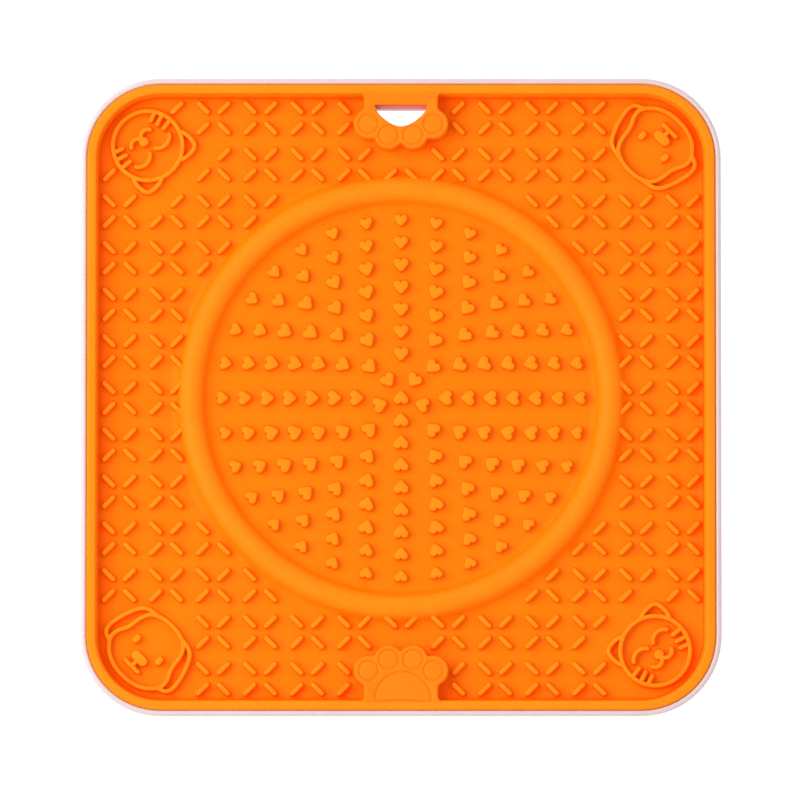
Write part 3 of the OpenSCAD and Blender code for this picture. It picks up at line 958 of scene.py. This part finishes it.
@dataclass
class LickMat:
    """The soft mat, which is one moulding drawn in pieces."""

    finish: Material
    ridge_finish: Material
    tab_finish: Material
    plan: Plan
    body: str = "mat"
    node: str = "silicone_mat"

    def build(self) -> None:
        """Builds and dresses every piece of the mat."""
        plain = [MatShell(self.plan), Hearts(), Bars(), CatFaces(), DogFaces()]
        pieces = [(part.build(), self.finish) for part in plain]
        pieces += [(PawTab(side).build(), self.tab_finish) for side in ("front", "rear")]
        pieces.append((RoundRidge().build(), self.ridge_finish))
        for piece, finish in pieces:
            dress(piece, self.body, Slot.MAT, finish, [self.node])


@dataclass(frozen=True)
class CupPlace:
    """Where a suction cup stands, in millimetres."""

    name: str
    x: float
    y: float


CUP_REACH = 64.0
CUPS = [
    CupPlace(f"{row}_{column}", x, y)
    for row, y in (("front", -CUP_REACH), ("rear", CUP_REACH))
    for column, x in (("left", -CUP_REACH), ("right", CUP_REACH))
]


@dataclass
class BaseTray:
    """The rigid tray: its shell with the cups' sockets, and the collar of the hanging hole."""

    finish: Material
    # The collar's finish: the tray's plastic with painted shade and painted orange light bounced from the
    # mat
    painted_shade_finish: Material
    plan: Plan
    body: str = "tray"
    node: str = "base_tray"
    wall: float = 1.7
    lean: float = 9.0
    floor_from_u: float = 18.5
    flat_to_u: float = 20.6
    bend: Point = (21.0, 10.0)
    bend_r: float = 3.0
    lip: Point = (24.15, 16.15)
    lip_swell: float = 0.07
    hole_grow: float = 0.8
    collar_dip: float = 0.02
    ledge: float = 0.8
    thinned: float = 0.45
    bore_r: float = 4.1
    socket_r: float = 6.1

    def shell_section(self) -> list[Point]:
        """The section of the wall, from under the floor, round the lip and back over the floor."""
        inner_r, lip_r = self.bend_r - self.wall, self.wall / 2
        return (
            [(u, LEVELS.tray_underside) for u in (self.floor_from_u, self.flat_to_u)]
            + arc(self.bend, self.bend_r, -90, -self.lean, 8)
            + arc(self.lip, lip_r, -self.lean, 90, 7)
            + arc(self.lip, lip_r + self.lip_swell, 100, 190 - self.lean, 6)
            + arc(self.bend, inner_r, -self.lean, -90, 5)
            + [(u, LEVELS.floor_top) for u in (self.flat_to_u, self.floor_from_u)]
        )

    def socket_rings(self, place: CupPlace) -> list[Ring]:
        """The rings of a socket, from its foot on the underside to the end of its bore."""
        foot, mouth, outer, bore = LEVELS.tray_underside, LEVELS.socket_mouth, self.socket_r, self.bore_r
        flare = [(outer + 1.1, foot), (outer + 1.0, foot - 0.02), (outer + 0.3, foot - 0.3)]
        edge = [(outer, foot - 1.0), (outer, mouth + 0.3), (outer - 0.1, mouth + 0.08), (outer - 0.3, mouth)]
        edge += [(bore + 0.35, mouth), (bore + 0.1, mouth + 0.1), (bore, mouth + 0.4)]
        end = [(bore, foot + 0.4), (bore - 0.3, foot + 0.7)]
        return [(circle((place.x, place.y), r, 48), z) for r, z in flare + edge + end]

    def build_shell(self) -> Object:
        """Builds the floor, the wall and the sockets."""
        bm = bmesh.new()
        self.plan.sweep(bm, self.shell_section())
        outline = d_outline(self.hole_grow)
        under, over = draw_rings(bm, [(outline, LEVELS.tray_underside), (outline, LEVELS.floor_top)])
        feet = []
        for place in CUPS:
            rings = draw_rings(bm, self.socket_rings(place))
            bmesh.ops.contextual_create(bm, geom=rings[-1])
            feet.append(rings[0])
        self.plan.fill_level(bm, LEVELS.tray_underside, [under, *feet])
        self.plan.fill_level(bm, LEVELS.floor_top, [over])
        return finish_mesh(bm, "tray_shell")

    def build_collar(self) -> Object:
        """Builds the collar of the hanging hole, which rises into the mat's rear tab."""
        bm = bmesh.new()
        foot, top = LEVELS.tray_underside - self.collar_dip, LEVELS.collar_top
        outer = [(1.45, foot), (1.6, foot + 0.15), (1.6, top - 0.35), (1.5, top - 0.1), (1.25, top)]
        inner = [(0.35, top), (0.1, top - 0.1), (0.0, top - 0.35), (0.0, foot + 0.3), (0.15, foot)]
        rings = [(d_outline(grow, self.thinned), z) for grow, z in outer]
        rings += [(d_outline(grow, self.ledge), z) for grow, z in inner]
        draw_rings(bm, rings, wrap=True)
        return finish_mesh(bm, "tray_collar")

    def build(self) -> None:
        """Builds and dresses the tray."""
        for piece, finish in ((self.build_shell(), self.finish), (self.build_collar(), self.painted_shade_finish)):
            dress(piece, self.body, Slot.TRAY, finish, [self.node])


@dataclass
class SuctionCups:
    """The four suction cups: thin bells with press-in stems."""

    finish: Material
    lip_r: float = 20.0
    stem_r: float = 4.0
    stem_top: float = 7.6
    bulge_r: float = 4.04
    turn_steps: int = 96

    def section(self) -> list[Point]:
        """The section from the middle of the hollow, round the lip and up to the stem's top."""
        lip, stem, top = self.lip_r, self.stem_r, self.stem_top
        under = smoothed([(0.0, 2.3), (4.0, 2.25), (9.0, 1.75), (14.5, 0.75), (lip - 1.4, 0.06)], 4)
        edge = [(lip - 1.0, 0.0), (lip - 0.4, 0.0), (lip - 0.1, 0.09)]
        edge += [(lip, 0.3), (lip - 0.03, 0.5), (lip - 0.2, 0.68)]
        bell = smoothed([(lip - 0.7, 0.86), (15.5, 1.75), (11.0, 2.85), (8.0, 3.7), (6.4, 4.05)], 4)
        shoulder = [(6.1, 4.17), (5.8, 4.2), (4.5, 4.2), (4.2, 4.24), (stem, 4.45)]
        bulge = [(stem, 5.6), (self.bulge_r, 5.8), (self.bulge_r, 6.1), (stem, 6.3)]
        end = [(stem, top - 0.45), (stem - 0.12, top - 0.15), (stem - 0.42, top), (0.0, top)]
        return under + edge + bell + shoulder + bulge + end

    def build(self) -> None:
        """Builds and dresses the four cups."""
        for place in CUPS:
            bm = bmesh.new()
            spin_round(bm, self.section(), self.turn_steps, closed=False, centre=(place.x, place.y))
            piece = finish_mesh(bm, "cup_" + place.name)
            dress(piece, "cup_" + place.name, Slot.CUP, self.finish, ["suction_cup_" + place.name])


# Finishes

# The places of a colour Mix node's factor, colours and result
MIX_FACTOR, MIX_A, MIX_B, MIX_OUT = 0, 6, 7, 2


class Shading:
    """A material's node tree, with short ways to add and join nodes."""

    def __init__(self, tree: NodeTree) -> None:
        """Wraps a tree."""
        self.tree = tree

    def add(self, kind: str, **values: object) -> Node:
        """Adds a node.

        Args:
            kind: The node's type, without its ShaderNode prefix.
            **values: Its settings, and the values of its inputs, with spaces as underscores.

        Returns:
            The node.
        """
        node = self.tree.nodes.new("ShaderNode" + kind)
        for key, value in values.items():
            if hasattr(node, key):
                setattr(node, key, value)
            else:
                node.inputs[key.replace("_", " ")].default_value = value
        return node

    def join(self, source: NodeSocket, target: NodeSocket) -> None:
        """Links an output to an input."""
        self.tree.links.new(source, target)


def surface_group() -> NodeTree:
    """The group that all finishes share: soft mottling, fine dust and a moulded grain.

    Returns:
        The group, with outputs Mottle and Dust between 0 and 1, and Normal.
    """
    group = bpy.data.node_groups.new("moulded_surface", "ShaderNodeTree")
    face = group.interface
    for name, value in (("Mottle Size", 90.0), ("Grain Size", 2600.0), ("Grain Depth", 0.00002)):
        face.new_socket(name=name, in_out="INPUT", socket_type="NodeSocketFloat").default_value = value
    face.new_socket(name="Mottle", in_out="OUTPUT", socket_type="NodeSocketFloat")
    face.new_socket(name="Dust", in_out="OUTPUT", socket_type="NodeSocketFloat")
    face.new_socket(name="Normal", in_out="OUTPUT", socket_type="NodeSocketVector")
    make = Shading(group)
    into, out = group.nodes.new("NodeGroupInput"), group.nodes.new("NodeGroupOutput")
    place = make.add("TexCoord")
    mottle = make.add("TexNoise", Detail=3.0, Roughness=0.55)
    dust = make.add("TexNoise", Scale=1500.0, Detail=2.0, Roughness=0.6)
    specks = make.add("MapRange", From_Min=0.66, From_Max=0.74, To_Min=0.0, To_Max=1.0)
    grain = make.add("TexNoise", Detail=2.0, Roughness=0.5)
    bump = make.add("Bump", Strength=0.5)
    for texture in (mottle, dust, grain):
        make.join(place.outputs["Object"], texture.inputs["Vector"])
    make.join(into.outputs["Mottle Size"], mottle.inputs["Scale"])
    make.join(into.outputs["Grain Size"], grain.inputs["Scale"])
    make.join(into.outputs["Grain Depth"], bump.inputs["Distance"])
    make.join(grain.outputs["Fac"], bump.inputs["Height"])
    make.join(dust.outputs["Fac"], specks.inputs["Value"])
    make.join(mottle.outputs["Fac"], out.inputs["Mottle"])
    make.join(specks.outputs["Result"], out.inputs["Dust"])
    make.join(bump.outputs["Normal"], out.inputs["Normal"])
    return group


@dataclass(frozen=True)
class Finish:
    """A moulded finish: its colours, gloss and grain, and shade painted into its colour by height."""

    name: str
    colour: Sequence[float]
    mottled: Sequence[float]
    dusty: Sequence[float]
    roughness: float
    roughness_spread: float = 0.04
    grain_size: float = 2600.0
    grain_depth: float = 0.00002
    subsurface: float = 0.0
    subsurface_depth: float = 0.001
    subsurface_reach: Sequence[float] = (1.0, 0.5, 0.3)
    transmission: float = 0.0
    shine: float = 0.5
    # Painted shade: each as a level and what multiplies the colour there
    layers: Sequence[tuple[float, Sequence[float]]] = ()

    def paint_shade(self, make: Shading, colour: NodeSocket) -> NodeSocket:
        """Paints shade by height: multiplies a colour by that of the layer it is in.

        Args:
            make: The material's tree.
            colour: The colour.

        Returns:
            The changed colour. It is the same one in a finish without painted shade.
        """
        if not self.layers:
            return colour
        low, high = self.layers[0][0], self.layers[-1][0]
        place = make.add("TexCoord")
        axes = make.add("SeparateXYZ")
        height = make.add("MapRange", From_Min=low * MM, From_Max=high * MM)
        ramp = make.add("ValToRGB")
        stops = ramp.color_ramp.elements
        stops[0].color = (*self.layers[0][1], 1)
        stops[-1].color = (*self.layers[-1][1], 1)
        for level, tone in self.layers[1:-1]:
            stops.new((level - low) / (high - low)).color = (*tone, 1)
        blend = make.add("Mix", data_type="RGBA", blend_type="MULTIPLY", Factor=1.0)
        make.join(place.outputs["Object"], axes.inputs["Vector"])
        make.join(axes.outputs["Z"], height.inputs["Value"])
        make.join(height.outputs["Result"], ramp.inputs["Fac"])
        make.join(ramp.outputs["Color"], blend.inputs[MIX_B])
        make.join(colour, blend.inputs[MIX_A])
        return blend.outputs[MIX_OUT]

    def build(self, group: NodeTree) -> Material:
        """Builds the material.

        Args:
            group: The shared surface group.

        Returns:
            The material.
        """
        material = bpy.data.materials.new(self.name)
        material.use_nodes = True
        make = Shading(material.node_tree)
        shader = material.node_tree.nodes["Principled BSDF"]
        surface = make.add("Group", node_tree=group)
        surface.inputs["Grain Size"].default_value = self.grain_size
        surface.inputs["Grain Depth"].default_value = self.grain_depth
        spread = make.add("MapRange", From_Min=0.3, From_Max=0.7, To_Min=0.0, To_Max=1.0)
        mottled = make.add("Mix", data_type="RGBA")
        dusty = make.add("Mix", data_type="RGBA")
        mottled.inputs[MIX_A].default_value = (*self.colour, 1)
        mottled.inputs[MIX_B].default_value = (*self.mottled, 1)
        dusty.inputs[MIX_B].default_value = (*self.dusty, 1)
        make.join(surface.outputs["Mottle"], spread.inputs["Value"])
        make.join(spread.outputs["Result"], mottled.inputs[MIX_FACTOR])
        make.join(surface.outputs["Dust"], dusty.inputs[MIX_FACTOR])
        make.join(self.paint_shade(make, mottled.outputs[MIX_OUT]), dusty.inputs[MIX_A])
        make.join(dusty.outputs[MIX_OUT], shader.inputs["Base Color"])
        make.join(surface.outputs["Normal"], shader.inputs["Normal"])
        low, high = self.roughness - self.roughness_spread, self.roughness + self.roughness_spread
        gloss = make.add("MapRange", To_Min=low, To_Max=high)
        make.join(surface.outputs["Mottle"], gloss.inputs["Value"])
        make.join(gloss.outputs["Result"], shader.inputs["Roughness"])
        shader.inputs["Subsurface Weight"].default_value = self.subsurface
        shader.inputs["Subsurface Scale"].default_value = self.subsurface_depth
        shader.inputs["Subsurface Radius"].default_value = self.subsurface_reach
        shader.inputs["Transmission Weight"].default_value = self.transmission
        shader.inputs["Specular IOR Level"].default_value = self.shine
        return material


# Painted shade: the mat's floor a deeper, redder orange than the tops
PAINTED_FLOOR_SHADE = (LEVELS.mat_floor + 0.02, (1.0, 0.8, 0.02))
# Painted shade with painted orange light bounced from the mat, for the collar's walls
PAINTED_COLLAR_SHADE = (1.0, 0.36, 0.34)
SILICONE = Finish(
    name="orange_silicone",
    colour=(1.0, 0.25, 0.006),
    mottled=(1.0, 0.235, 0.005),
    dusty=(1.0, 0.31, 0.02),
    # Painted shade, made redder for orange light bounced between walls: floor, feet of nubs and lines, and
    # rim walls darker; tops keep the plain colour
    layers=(
        PAINTED_FLOOR_SHADE,
        (LEVELS.mat_floor + 0.5, (1.0, 0.58, 0.02)),
        (LEVELS.nub_top - 1.3, (1.0, 0.6, 0.03)),
        (LEVELS.nub_top - 0.2, (1.0, 1.0, 1.0)),
    ),
    roughness=0.5,
    shine=0.06,
    subsurface=0.12,
    subsurface_depth=0.0015,
    subsurface_reach=(1.0, 0.35, 0.1),
)
# A copy of the silicone with its own painted shade: darker and redder at the ridge's feet, nearly the plain
# colour at its crest
RIDGE_SILICONE = replace(
    SILICONE,
    name="ridge_silicone",
    layers=(
        PAINTED_FLOOR_SHADE,
        (LEVELS.mat_floor + 1.2, (1.0, 0.78, 0.02)),
        (LEVELS.nub_top + 1.2, (1.0, 0.94, 0.9)),
    ),
)
# A copy of the silicone with more painted shade: toe grooves darker, the tab's walls darker towards the top,
# its top a little darker than the rim's
TAB_SILICONE = replace(
    SILICONE,
    name="tab_silicone",
    layers=(
        *SILICONE.layers,
        (LEVELS.rim_top - 0.5, (1.0, 0.7, 0.66)),
        (LEVELS.rim_top - 0.1, (1.0, 0.84, 0.9)),
    ),
)
PINK_PLASTIC = Finish(
    name="pale_pink_plastic",
    colour=(0.69, 0.55, 0.555),
    mottled=(0.67, 0.525, 0.53),
    dusty=(0.78, 0.7, 0.69),
    roughness=0.3,
    grain_size=1200.0,
    grain_depth=0.000008,
    subsurface=0.5,
    subsurface_depth=0.003,
    shine=0.3,
)
# The tray's plastic with painted shade and painted orange bounce light: the collar's walls salmon red, a
# little less red at the bottom
SHADED_PINK_PLASTIC = replace(
    PINK_PLASTIC,
    name="shaded_pink_plastic",
    colour=(0.79, 0.55, 0.54),
    mottled=(0.77, 0.53, 0.52),
    layers=(
        (LEVELS.tray_underside, (0.87, 1.0, 1.0)),
        (LEVELS.tray_underside + 0.5, PAINTED_COLLAR_SHADE),
        (LEVELS.floor_top, PAINTED_COLLAR_SHADE),
        (LEVELS.collar_top, (1.0, 0.38, 0.36)),
    ),
    subsurface=0.0,
    subsurface_depth=0.001,
)
CLEAR_SOFT = Finish(
    name="clear_soft_plastic",
    colour=(0.86, 0.9, 0.92),
    mottled=(0.82, 0.87, 0.9),
    dusty=(0.95, 0.96, 0.97),
    roughness=0.2,
    grain_size=900.0,
    grain_depth=0.00001,
    transmission=0.75,
)


# Stage


@dataclass
class Studio:
    """A plain white floor, one large soft light and the camera at the photograph's angle."""

    tilt: float = 5.6
    aim: Point = (-0.33, -1.1)
    distance: float = 5.0
    pixels_per_mm: float = 3.202
    frame_px: float = 800.0
    sensor: float = 36.0
    clip_end: float = 20.0
    floor_half: float = 3.0
    floor_grey: float = 0.03
    floor_glow: float = 1.02
    sky: float = 0.8
    lamp_power: float = 10.5
    lamp_size: float = 1.0
    lamp_place: Sequence[float] = (-0.75, 0.1, 0.8)

    def lay_floor(self) -> None:
        """Lays the floor. Seen from below it is clear, so that the underside can be looked at."""
        bm = bmesh.new()
        bmesh.ops.create_grid(bm, x_segments=1, y_segments=1, size=self.floor_half)
        floor = finish_mesh(bm, "floor", smooth=False)
        look = bpy.data.materials.new("floor_white")
        look.use_nodes = True
        make = Shading(look.node_tree)
        shader = look.node_tree.nodes["Principled BSDF"]
        shader.inputs["Base Color"].default_value = (*[self.floor_grey] * 3, 1)
        shader.inputs["Roughness"].default_value = 0.9
        shader.inputs["Emission Color"].default_value = (1, 1, 1, 1)
        shader.inputs["Emission Strength"].default_value = self.floor_glow
        clear, side, mix = make.add("BsdfTransparent"), make.add("NewGeometry"), make.add("MixShader")
        make.join(side.outputs["Backfacing"], mix.inputs["Fac"])
        make.join(shader.outputs["BSDF"], mix.inputs[1])
        make.join(clear.outputs["BSDF"], mix.inputs[2])
        make.join(mix.outputs["Shader"], look.node_tree.nodes["Material Output"].inputs["Surface"])
        floor.data.materials.append(look)

    def hang_lights(self) -> None:
        """Lights the sky evenly and hangs a large soft lamp at the upper left."""
        world = bpy.data.worlds.new("studio")
        world.use_nodes = True
        world.node_tree.nodes["Background"].inputs["Color"].default_value = (1, 1, 1, 1)
        world.node_tree.nodes["Background"].inputs["Strength"].default_value = self.sky
        bpy.context.scene.world = world
        light = bpy.data.lights.new("softbox", "AREA")
        light.energy = self.lamp_power
        light.size = self.lamp_size
        lamp = bpy.data.objects.new("softbox", light)
        lamp.location = self.lamp_place
        lamp.rotation_euler = (-lamp.location).to_track_quat("-Z", "Y").to_euler()
        lamp.visible_camera = False
        bpy.context.scene.collection.objects.link(lamp)

    def set_camera(self) -> None:
        """Sets a far camera over the mat, tilted a little towards its front."""
        tilt = math.radians(self.tilt)
        camera = bpy.data.cameras.new("camera")
        camera.sensor_width = self.sensor
        camera.lens = self.pixels_per_mm * self.distance / MM * self.sensor / self.frame_px
        camera.clip_end = self.clip_end
        eye = bpy.data.objects.new("camera", camera)
        target = Vector((*self.aim, LEVELS.rim_top)) * MM
        eye.location = target + self.distance * Vector((0, -math.sin(tilt), math.cos(tilt)))
        eye.rotation_euler = (tilt, 0, 0)
        bpy.context.scene.collection.objects.link(eye)
        bpy.context.scene.camera = eye
        bpy.context.scene.view_settings.view_transform = "Standard"

    def build(self) -> None:
        """Builds the stage."""
        self.lay_floor()
        self.hang_lights()
        self.set_camera()


def main() -> None:
    """Builds the stage and every piece."""
    logging.basicConfig(level=logging.INFO, format="%(message)s")
    Studio().build()
    group, plan = surface_group(), Plan()
    LickMat(SILICONE.build(group), RIDGE_SILICONE.build(group), TAB_SILICONE.build(group), plan).build()
    BaseTray(PINK_PLASTIC.build(group), SHADED_PINK_PLASTIC.build(group), plan).build()
    SuctionCups(CLEAR_SOFT.build(group)).build()


if __name__ == "__main__":
    main()
